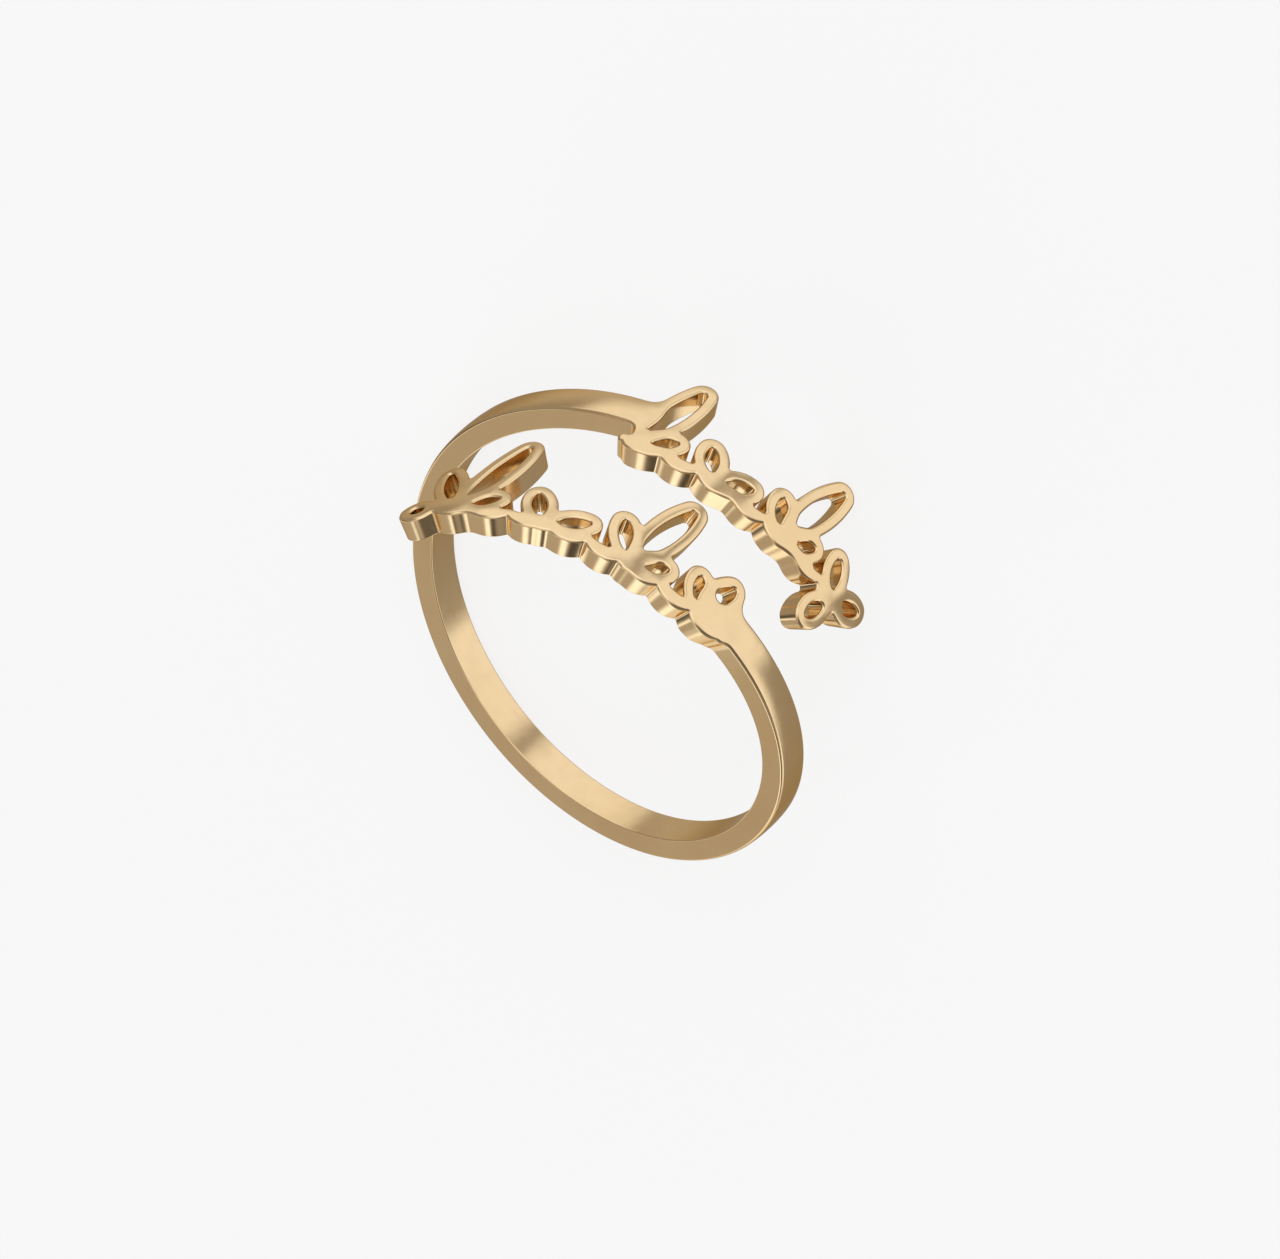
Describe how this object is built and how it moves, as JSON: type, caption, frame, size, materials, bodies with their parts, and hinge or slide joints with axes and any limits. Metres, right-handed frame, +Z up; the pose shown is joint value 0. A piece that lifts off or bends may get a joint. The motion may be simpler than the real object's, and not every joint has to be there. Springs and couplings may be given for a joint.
{
  "type": "bypass openwork finger ring",
  "caption": "Gold finger ring: one flat band whose two ends pass each other and widen into pierced panels of leaves with scalloped edges.",
  "frame": {"origin": "on the table, below the middle of the bounding box of the ring as it lies on its side", "axes": "+Z up from the table; the openwork panels face -Y; the finger's axis leans about 14 degrees from +Z, towards +X and +Y"},
  "size_m": [0.019, 0.02, 0.0118],
  "materials": {
    "gold": "polished"
  },
  "bodies": {
    "root": {"ring": "gold"}
  },
  "joints": []
}
